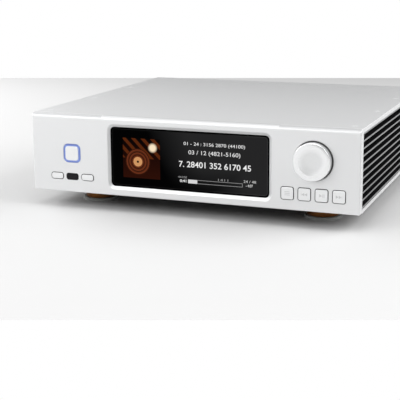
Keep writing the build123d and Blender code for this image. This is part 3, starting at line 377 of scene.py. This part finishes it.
# Painted reflection: a dark-grey glow towards the right of the glass, with a slanting edge.
lean = worked(tree, "ADD", along, worked(tree, "MULTIPLY", height, reflection_slope))
painted_reflection = ranged(tree, lean, 0.0, 1.0, reflection_left, reflection_right)
upper = ranged(tree, height, 0.0, 1.0, 0.0, reflection_top)
right = ranged(tree, along, 0.0, 1.0, low_reflection_left, low_reflection_right)
painted_reflection = worked(tree, "MULTIPLY", painted_reflection, worked(tree, "MAXIMUM", upper, right))
bsdf.inputs["Emission Strength"].default_value = 1.0
tree.links.new(blended(tree, painted_reflection, (0.0, 0.0, 0.0), (0.018, 0.018, 0.0185)), bsdf.inputs["Emission Color"])
rounded_plate(-screen_half, screen_half, screen_low, screen_high, glass_face - print_step, 2 * print_step,
              screen_corner)
settle("screen_area", screen_painted_reflection, "chassis")

frame_line, tree, bsdf, place = gloss("frame_line", (0.01, 0.01, 0.01), 0.25, 0.1)
along, deep, high = split(tree, place)
bsdf.inputs["Emission Strength"].default_value = 1.0
line, fade_left, fade_right = 0.0003, 0.02, 0.08
# Painted light: the frame's line glows grey towards the right and fades out to the left, with the screen's
# painted reflection.
painted_line_light = ranged(tree, along, 0.0, 1.0, fade_left, fade_right)
tree.links.new(blended(tree, painted_line_light, (0.0, 0.0, 0.0), (0.06, 0.06, 0.062)), bsdf.inputs["Emission Color"])
rounded_plate(-screen_half - line, screen_half + line, screen_low - line, screen_high + line,
              glass_face - print_step / 2, print_step, screen_corner + line)
settle("screen_frame_line", frame_line, "chassis")


# Picture on the display
# A generic drawing in warm colours: a ringed disc, a small pale one and slanting bars on a dark ground.
art_half, art_corner = 0.0205, 0.0003
art_x, art_z = -0.0508, glass_low.z + 0.03225
disc_left, disc_down, pale_right, pale_up = 0.004, 0.0035, 0.0125, 0.0115
disc_size, label_size, hole_size, groove_count = 0.66, 0.24, 0.06, 6.5
pale_core, pale_size, stripe_scale, stripe_share = 0.14, 0.26, 95.0, 0.55
picture, tree, bsdf, place = gloss("picture", *glass_look)
along, deep, high = split(tree, place)
ground = ranged(tree, high, 0.0, 1.0, art_z + art_half, art_z - art_half)
colour = blended(tree, ground, (0.001, 0.0006, 0.0006), (0.024, 0.004, 0.0014))
slant = worked(tree, "FRACT", worked(tree, "MULTIPLY", worked(tree, "ADD", along, high), stripe_scale))
bars = worked(tree, "MULTIPLY", worked(tree, "GREATER_THAN", slant, stripe_share),
              worked(tree, "GREATER_THAN", high, art_z))
colour = blended(tree, worked(tree, "MULTIPLY", bars, 0.8), colour, (0.11, 0.022, 0.004))
disc = from_axis(tree, along, high, art_x - disc_left, art_z - disc_down)
disc = worked(tree, "MULTIPLY", disc, 1 / art_half)
rings = worked(tree, "FRACT", worked(tree, "MULTIPLY", disc, groove_count))
vinyl = blended(tree, rings, (0.004, 0.002, 0.001), (0.17, 0.035, 0.012))
colour = blended(tree, worked(tree, "LESS_THAN", disc, disc_size), colour, vinyl)
colour = blended(tree, worked(tree, "LESS_THAN", disc, label_size), colour, (0.62, 0.3, 0.12))
colour = blended(tree, worked(tree, "LESS_THAN", disc, hole_size), colour, (0.01, 0.005, 0.003))
pale = from_axis(tree, along, high, art_x + pale_right, art_z + pale_up)
pale = worked(tree, "MULTIPLY", pale, 1 / art_half)
colour = blended(tree, ranged(tree, pale, 1.0, 0.0, pale_core, pale_size), colour, (0.95, 0.78, 0.55))
bsdf.inputs["Emission Strength"].default_value = 1.0
tree.links.new(colour, bsdf.inputs["Emission Color"])
rounded_plate(art_x - art_half, art_x + art_half, art_z - art_half, art_z + art_half,
              glass_face - 2 * print_step, 2 * print_step, art_corner)
settle("screen_picture", picture, "chassis")


# Figures on the display
# Three lines of plain numbers, and small ones over and beside the bar, as thin flat relief on the glass.
def lit(name, level):
    """Pale light of one strength, as white points on the display give."""
    mat, tree, bsdf, place = gloss(name, (0.01, 0.01, 0.01), 0.12, 0.03)
    bsdf.inputs["Emission Strength"].default_value = 1.0
    tone = ranged(tree, noise(tree, place, 2500.0), level * 0.85, level)
    tree.links.new(tone, bsdf.inputs["Emission Color"])
    return mat


def figures(name, digits, x0, x1, z0, z1, material, bold=0.0):
    """Numbers fitted between two sides and two heights above the glass's lower edge, as thin flat relief."""
    alone()
    bpy.ops.object.text_add(location=(0, 0, 0))
    text = bpy.context.object
    text.data.body = digits
    text.data.extrude = 0.5
    text.data.offset = bold
    bpy.ops.object.convert(target="MESH")
    mesh = bpy.context.object.data
    low = [min(v.co[i] for v in mesh.vertices) for i in range(3)]
    top = [max(v.co[i] for v in mesh.vertices) for i in range(3)]
    for vertex in mesh.vertices:
        across, upward, inward = [(vertex.co[i] - low[i]) / (top[i] - low[i]) for i in range(3)]
        vertex.co = (x0 + (x1 - x0) * across, glass_face - (1 + 2 * inward) * print_step,
                     glass_low.z + z0 + (z1 - z0) * upward)
    bpy.ops.object.mode_set(mode="EDIT")
    bpy.ops.mesh.select_all(action="SELECT")
    bpy.ops.mesh.normals_make_consistent(inside=False)
    return settle(name, material, "chassis")


bright, middling, dim = lit("figures_bright", 0.88), lit("figures_middling", 0.6), lit("figures_dim", 0.3)
figures("screen_line_1", "01 - 24 : 3156 2870 (44100)", -0.0045, 0.0599, 0.04795, 0.05225, bright)
figures("screen_line_2", "03 / 12 (4821-5160)", 0.0006, 0.0551, 0.03875, 0.04405, bright)
figures("screen_line_3", "7. 28401 352 6170 45", -0.0097, 0.0661, 0.02665, 0.03275, bright, 0.012)
figures("screen_label_left", "44100", -0.0109, -0.0013, 0.01515, 0.01735, dim)
figures("screen_elapsed", "0:41", -0.0089, -0.0020, 0.01115, 0.01385, bright, 0.02)
figures("screen_label_middle", "1411", 0.0319, 0.0425, 0.01495, 0.01725, dim)
figures("screen_label_right", "24 / 48", 0.0585, 0.0713, 0.01515, 0.01775, middling)
figures("screen_remaining", "- 4:07", 0.0608, 0.0680, 0.01095, 0.01375, middling, 0.02)


# Progress bar on the display
# A thin outlined bar, a sixth of it filled.
bar_left, bar_right = -0.0001, 0.0575
bar_low, bar_high = glass_low.z + 0.01045, glass_low.z + 0.01425
bar_corner, bar_line, bar_filled = 0.0002, 0.00045, 0.0099
mesh = rounded_plate(bar_left, bar_right, bar_low, bar_high, glass_face - 3 * print_step, 2 * print_step,
                     bar_corner)
choose(mesh, faces=lambda f: abs(f.normal.y) > 0.9)
bpy.ops.mesh.inset(thickness=bar_line, depth=0)
bpy.ops.mesh.bridge_edge_loops()
settle("progress_outline", dim, "chassis")
rounded_plate(bar_left, bar_left + bar_filled, bar_low, bar_high, glass_face - 3.5 * print_step,
              2 * print_step, bar_corner)
settle("progress_fill", lit("progress_light", 0.72), "chassis")


# Keys and power button
# Milled from aluminium and blasted like the panel, with a finer grain.
def painted_side_shade(material, start, end, dark):
    """Painted shade: darkens a material towards the back, where the sides of a control sink into the panel.
    """
    tree, bsdf, place = opened(material)
    tinted(tree, bsdf, ranged(tree, split(tree, place)[1], 0.0, 1.0, start, end), dark)


key_silver = blasted("key_silver", (0.86, 0.865, 0.87), 0.8, 0.38, 3000.0)
key_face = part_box("menu_button")[0].y
shade_near, shade_far = 0.0003, 0.0005
# Painted shade darkens the sides of the keys behind their faces, in the gaps round them.
painted_side_shade(key_silver, key_face + shade_near, key_face + shade_far, (0.03, 0.03, 0.03))
dress(key_silver, "display_button_left", "display_button_right",
      "menu_button", "previous_button", "play_button", "next_button")
power_silver = blasted("power_silver", (0.86, 0.865, 0.87), 0.8, 0.38, 3000.0)
dress(power_silver, "power_button")


# Volume knob
# Turned from solid aluminium, with a chamfered rim, a flat ring and a shallow dish for the fingertip.
# It is hollow behind for the nut of the encoder, and a set screw holds it to the shaft.
knob_depth = knob_high.y - knob_low.y
knob_rim, dish_radius, dish_depth, dish_rings = 0.0007, 0.0134, 0.0008, 16
hollow_radius, shaft_bore, hollow_step = 0.009, 0.00305, 0.0026
quarter_turn, smooth_below = math.radians(90), math.radians(22)
alone()
bpy.ops.mesh.primitive_cylinder_add(vertices=128, radius=knob_radius, depth=knob_depth, location=knob_middle,
                                    rotation=(quarter_turn, 0, 0))
bpy.ops.object.transform_apply(location=True, rotation=True, scale=True)
bpy.ops.object.mode_set(mode="EDIT")
mesh = bpy.context.object.data
choose(mesh, faces=lambda f: f.normal.y < -0.9)
bpy.ops.mesh.bevel(offset=knob_rim, segments=3, affect="EDGES")
choose(mesh, faces=lambda f: f.normal.y < -0.999 and f.calc_area() > dish_radius ** 2)
bpy.ops.mesh.inset(thickness=knob_radius - knob_rim - dish_radius, depth=0)
curve = (dish_radius ** 2 + dish_depth ** 2) / (2 * dish_depth)
last_drop = 0.0
for ring in range(1, dish_rings):
    reach = dish_radius * (1 - ring / dish_rings)
    drop = dish_depth - (curve - math.sqrt(curve ** 2 - reach ** 2))
    bpy.ops.mesh.inset(thickness=dish_radius / dish_rings, depth=last_drop - drop)
    last_drop = drop
bpy.ops.mesh.poke(offset=-dish_depth / dish_rings ** 2)
choose(mesh, faces=lambda f: f.normal.y > 0.9)
bpy.ops.mesh.inset(thickness=knob_radius - hollow_radius, depth=0)
bpy.ops.mesh.extrude_region_move(TRANSFORM_OT_translate={"value": (0, -hollow_step, 0)})
bpy.ops.mesh.inset(thickness=hollow_radius - shaft_bore, depth=0)
bpy.ops.mesh.extrude_region_move(TRANSFORM_OT_translate={"value": (0, -hollow_step, 0)})
bpy.ops.object.mode_set(mode="OBJECT")
bpy.ops.object.shade_smooth_by_angle(angle=smooth_below)
knob_silver = blasted("knob_silver", (0.9, 0.905, 0.91), 0.9, 0.26, 3000.0)
tree, bsdf, place = opened(knob_silver)
along, deep, high = split(tree, place)
dish_fade, side_near, side_far = 0.005, 0.0009, 0.008
reach = from_axis(tree, along, high, knob_middle.x, knob_middle.z)
# Painted shade: the dish is a darker grey inside its edge.
dish_painted_shade = ranged(tree, reach, 0.0, 1.0, dish_radius, dish_radius - dish_fade)
tinted(tree, bsdf, dish_painted_shade, (0.76, 0.765, 0.77))
# Painted shade darkens the knob's side towards the panel.
painted_side_shade(knob_silver, knob_low.y + side_near, knob_low.y + side_far, (0.62, 0.62, 0.62))
knob = settle("knob", knob_silver, "volume_knob")
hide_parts("volume_knob")


# Signs on the square keys
# Fine grey signs in a thin flat relief: three lines, back, play and pause, and forward.
sign_grey = blasted("sign_grey", (0.64, 0.645, 0.65), 0.4, 0.5, 3000.0)
sign_thick, stroke_corner = 0.00004, 0.00008
line_half, line_tall, line_step = 0.0026, 0.0003, 0.0016
arrow_radius, bar_tall = 0.0019, 0.00165
front_arrow, back_arrow, end_bar, end_half = 0.0008, 0.0021, 0.003, 0.0002
play_arrow, pause_bars, pause_half = 0.0012, (0.0014, 0.0026), 0.0003


def sign_bar(x, z, half, tall, front):
    """A straight stroke of a sign, so wide and so tall to each side of its middle."""
    rounded_plate(x - half, x + half, z - tall, z + tall, front - sign_thick / 2, sign_thick, stroke_corner)
    alone()
    return bpy.context.object


def sign_arrow(x, z, way, front):
    """A triangle that points left or right."""
    alone()
    bpy.ops.mesh.primitive_cylinder_add(vertices=3, radius=arrow_radius, depth=sign_thick,
                                        location=(x, front, z),
                                        rotation=(quarter_turn, way * quarter_turn, 0))
    bpy.ops.object.transform_apply(location=True, rotation=True, scale=True)
    return bpy.context.object


for name in ("menu", "previous", "play", "next"):
    low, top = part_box(f"{name}_button")
    x, z, front = (low.x + top.x) / 2, (low.z + top.z) / 2, low.y
    if name == "menu":
        strokes = [sign_bar(x, z + step * line_step, line_half, line_tall, front) for step in (-1, 0, 1)]
    elif name == "play":
        strokes = [sign_arrow(x - play_arrow, z, 1, front)]
        strokes += [sign_bar(x + side, z, pause_half, bar_tall, front) for side in pause_bars]
    else:
        way = 1 if name == "next" else -1
        strokes = [sign_arrow(x + way * front_arrow, z, way, front),
                   sign_arrow(x - way * back_arrow, z, way, front),
                   sign_bar(x + way * end_bar, z, end_half, bar_tall, front)]
    alone()
    for stroke in strokes:
        stroke.select_set(True)
    bpy.context.view_layer.objects.active = strokes[0]
    bpy.ops.object.join()
    settle(f"{name}_sign", sign_grey, f"{name}_button")


# Light ring of the power button
# Clear plastic lit blue from behind, brightest next to the button.
ring_low, ring_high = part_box("power_light_ring")
ring_middle = (ring_low + ring_high) / 2
light_ring, tree, bsdf, place = shader("light_ring", (0.01, 0.02, 0.07), 0.0, 0.45)
along, deep, high = split(tree, place)
across = worked(tree, "ABSOLUTE", worked(tree, "SUBTRACT", along, ring_middle.x))
upward = worked(tree, "ABSOLUTE", worked(tree, "SUBTRACT", high, ring_middle.z))
glow_inner, glow_outer = 0.0074, 0.0101
reach = ranged(tree, worked(tree, "MAXIMUM", across, upward), 0.0, 1.0, glow_inner, glow_outer)
bsdf.inputs["Emission Strength"].default_value = 1.0
tree.links.new(blended(tree, reach, (0.24, 0.32, 0.64), (0.06, 0.1, 0.36)), bsdf.inputs["Emission Color"])
dress(light_ring, "power_light_ring")


# Infrared window and receiver
# Dark plastic that lets only infrared through.
infrared_dark = blasted("infrared_dark", (0.01, 0.009, 0.011), 0.0, 0.25, 500.0)
opened(infrared_dark)[1].inputs["Specular IOR Level"].default_value = 0.15
dress(infrared_dark, "remote_window", "remote_receiver")


# Circuit boards
# Glass fibre boards under green solder mask, with the copper tracks showing faintly through it.
board_green, tree, bsdf, place = shader("board_green", (0.02, 0.13, 0.06), 0.0, 0.35)
tracks = tree.nodes.new("ShaderNodeTexBrick")
tracks.inputs["Scale"].default_value = 120.0
tracks.inputs["Mortar Size"].default_value = 0.06
tracks.inputs["Color1"].default_value = (0.018, 0.12, 0.055, 1)
tracks.inputs["Color2"].default_value = (0.014, 0.1, 0.045, 1)
tracks.inputs["Mortar"].default_value = (0.05, 0.2, 0.09, 1)
tree.links.new(place, tracks.inputs["Vector"])
tree.links.new(tracks.outputs["Color"], bsdf.inputs["Base Color"])
tree.links.new(ranged(tree, noise(tree, place, 400.0), 0.28, 0.42), bsdf.inputs["Roughness"])
raised(tree, bsdf, tracks.outputs["Fac"], 0.2)
dress(board_green, "left_control_board", "right_control_board",
      "power_supply_board", "main_board", "output_board")


# Components on the boards and at the mains
# Switches, encoder, memory, cache drive, optical socket, mains inlet and power switch in black plastic.
# The cooler is black anodised aluminium, and the boards stand on brass posts.
moulded_black = blasted("moulded_black", (0.022, 0.022, 0.024), 0.0, 0.45, 1500.0)
dress(moulded_black, "tact_switches", "encoder_housing", "memory_module", "cache_drive", "optical_socket",
      "mains_inlet", "power_switch_housing", "power_switch_rocker")

cooler_black = blasted("cooler_black", (0.015, 0.015, 0.016), 0.3, 0.4, 1200.0)
dress(cooler_black, "processor_cooler")

post_brass = blasted("post_brass", (0.72, 0.64, 0.42), 0.95, 0.3, 1500.0)
dress(post_brass, "board_standoffs")


# Transformer
# A ring core under overlapping turns of yellow tape.
winding_tape, tree, bsdf, place = shader("winding_tape", (0.7, 0.5, 0.08), 0.0, 0.4)
ring_place = tree.nodes.new("ShaderNodeMapping")
core_low, core_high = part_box("toroidal_transformer")
core = (core_low + core_high) / 2
ring_place.inputs["Location"].default_value = tuple(-core)
tree.links.new(place, ring_place.inputs["Vector"])
turn = tree.nodes.new("ShaderNodeTexGradient")
turn.gradient_type = "RADIAL"
tree.links.new(ring_place.outputs["Vector"], turn.inputs["Vector"])
wrap_count, tape_height = 56.0, 0.0002
wraps = worked(tree, "FRACT", worked(tree, "MULTIPLY", turn.outputs["Fac"], wrap_count))
tree.links.new(blended(tree, wraps, (0.5, 0.34, 0.05), (0.72, 0.53, 0.1)), bsdf.inputs["Base Color"])
raised(tree, bsdf, wraps, 0.4, tape_height)
dress(winding_tape, "toroidal_transformer")


# Filter capacitors
# Aluminium cans in a dark blue sleeve.
can_sleeve = blasted("can_sleeve", (0.02, 0.035, 0.12), 0.0, 0.3, 700.0)
dress(can_sleeve, "filter_capacitors")


# Sockets at the back, storage drive and ribbon cables
# Gold plated coaxial jacks, and plated steel shells for the data sockets.
# The drive is dark grey and lies in its tray, and the cables inside are pale grey ribbons.
jack_gold = blasted("jack_gold", (0.83, 0.62, 0.26), 1.0, 0.22, 3000.0)
dress(jack_gold, "rca_jacks")
socket_steel = blasted("socket_steel", (0.68, 0.685, 0.69), 0.95, 0.28, 2400.0)
dress(socket_steel, "usb_sockets", "network_jack")
drive_grey = blasted("drive_grey", (0.1, 0.1, 0.11), 0.5, 0.42, 1600.0)
dress(drive_grey, "storage_drive")
ribbon_grey = blasted("ribbon_grey", (0.5, 0.5, 0.52), 0.0, 0.55, 1200.0)
dress(ribbon_grey, "ribbon_cables")


# Floor
# A plain pale sheet that ends behind and in front of the object, with white beyond both edges.
# Each edge has a point that it runs through and its turn in degrees.
floor_reach = 3.0
floor_edges = (("far", (-0.4278, 0.9634), 17.66), ("near", (0.1187, -0.4358), 20.15))
floor_grey, tree, bsdf, place = shader("floor_grey", (0.86, 0.86, 0.865), 0.0, 0.9)
bsdf.inputs["Specular IOR Level"].default_value = 0.0
tree.links.new(ranged(tree, noise(tree, place, 40.0), 0.85, 0.9), bsdf.inputs["Roughness"])
paths = tree.nodes.new("ShaderNodeLightPath")
tree.links.new(blended(tree, paths.outputs["Is Camera Ray"], (0.8, 0.8, 0.8), (0.79, 0.79, 0.79)),
               bsdf.inputs["Base Color"])
alone()
bpy.ops.mesh.primitive_plane_add(size=2, location=(0, 0, 0))
floor = bpy.context.object
floor.name = "floor"
bpy.ops.object.mode_set(mode="EDIT")
bpy.ops.transform.resize(value=(floor_reach, 1, 1))
for side, (x, y), turn in floor_edges:
    way = 1 if side == "far" else -1
    choose(floor.data, edges=lambda e: all(way * v.co.y > 0 for v in e.verts))
    bpy.ops.transform.translate(value=(x, y - way, 0))
    bpy.ops.transform.rotate(value=-math.radians(turn), orient_axis="Z", center_override=(x, y, 0))
bpy.ops.object.mode_set(mode="OBJECT")
floor.data.materials.append(floor_grey)
floor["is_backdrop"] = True


# Light
# Soft lamps above in front, in front on the left and at both sides, in an even pale room.
def lamp(name, place, aim, width, height, power):
    """A rectangular soft lamp that points at a spot."""
    data = bpy.data.lights.new(name, "AREA")
    data.shape = "RECTANGLE"
    data.size, data.size_y = width, height
    data.energy = power
    light = bpy.data.objects.new(name, data)
    bpy.context.scene.collection.objects.link(light)
    direction = Vector(aim) - Vector(place)
    light.matrix_world = Matrix.Translation(place) @ direction.to_track_quat("-Z", "Y").to_matrix().to_4x4()


lamp("top_lamp", (0.15, -0.85, 1.85), (0, -0.1, 0), 1.4, 1.4, 9.0)
lamp("key_lamp", (-0.75, -1.65, 1.05), (-0.05, -0.1, 0.03), 2.0, 0.8, 15.5)
lamp("side_lamp_left", (-1.3, 0.15, 0.65), (-0.3, -0.1, 0), 1.4, 1.0, 13.0)
lamp("side_lamp_right", (1.3, 0.2, 0.9), (0.4, 0.1, 0), 1.6, 1.0, 18.0)


def card(name, place, aim, width, height, grey):
    """A grey sheet beside the set, which shows only as a reflection in the metal."""
    alone()
    turn = (Vector(aim) - Vector(place)).to_track_quat("Z", "Y")
    bpy.ops.mesh.primitive_plane_add(size=1, location=place, rotation=turn.to_euler())
    sheet = bpy.context.object
    sheet.scale = (width, height, 1)
    sheet.name = name
    sheet.data.materials.append(blasted(name, (grey, grey, grey), 0.0, 0.8, 50.0))
    sheet.visible_camera = sheet.visible_diffuse = sheet.visible_shadow = False
    sheet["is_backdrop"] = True


card("card_behind", (-0.24, 0.42, 0.24), (-0.24, 0, 0.2), 0.8, 0.28, 0.12)
card("card_front", (0.4, -2.0, 0.5), (0, 0, 0.05), 1.6, 1.0, 0.05)
card("card_right", (1.2, -1.0, 0.25), (0, 0, 0.05), 1.0, 0.8, 0.1)

room_light = 0.27
world = bpy.data.worlds.new("room")
bpy.context.scene.world = world
world.use_nodes = True
tree = world.node_tree
room = tree.nodes["Background"]
room.inputs["Color"].default_value = (1, 1, 1, 1)
paths = tree.nodes.new("ShaderNodeLightPath")
seen = worked(tree, "MAXIMUM", paths.outputs["Is Camera Ray"], paths.outputs["Is Glossy Ray"])
seen = worked(tree, "MAXIMUM", seen, paths.outputs["Is Transmission Ray"])
tree.links.new(ranged(tree, seen, room_light, 1.0), room.inputs["Strength"])


# Camera
# At the place that the casing's edges give for the photograph's camera.
yaw, pitch, roll = math.radians(21.42), math.radians(11.20), math.radians(-0.44)
camera_place = (0.3817, -1.10375, glass_low.z + 0.23485)
focal_length, film_width, film_shift = 93.6, 36, -0.1
forward = Vector((-math.sin(yaw) * math.cos(pitch), math.cos(yaw) * math.cos(pitch), -math.sin(pitch)))
level = Vector((math.cos(yaw), math.sin(yaw), 0))
upright = level.cross(forward)
right = math.cos(roll) * level + math.sin(roll) * upright
up = -math.sin(roll) * level + math.cos(roll) * upright
lens = bpy.data.cameras.new("camera")
lens.lens = focal_length
lens.sensor_width = film_width
lens.shift_y = film_shift
camera = bpy.data.objects.new("camera", lens)
bpy.context.scene.collection.objects.link(camera)
turn = Matrix((right, up, -forward)).transposed().to_4x4()
camera.matrix_world = Matrix.Translation(camera_place) @ turn
bpy.context.scene.camera = camera
bpy.context.scene.view_settings.view_transform = "Standard"

sizes = {"cad": cad_box, "visual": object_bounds()}
sizes = {name: [list(corner) for corner in pair] for name, pair in sizes.items()}
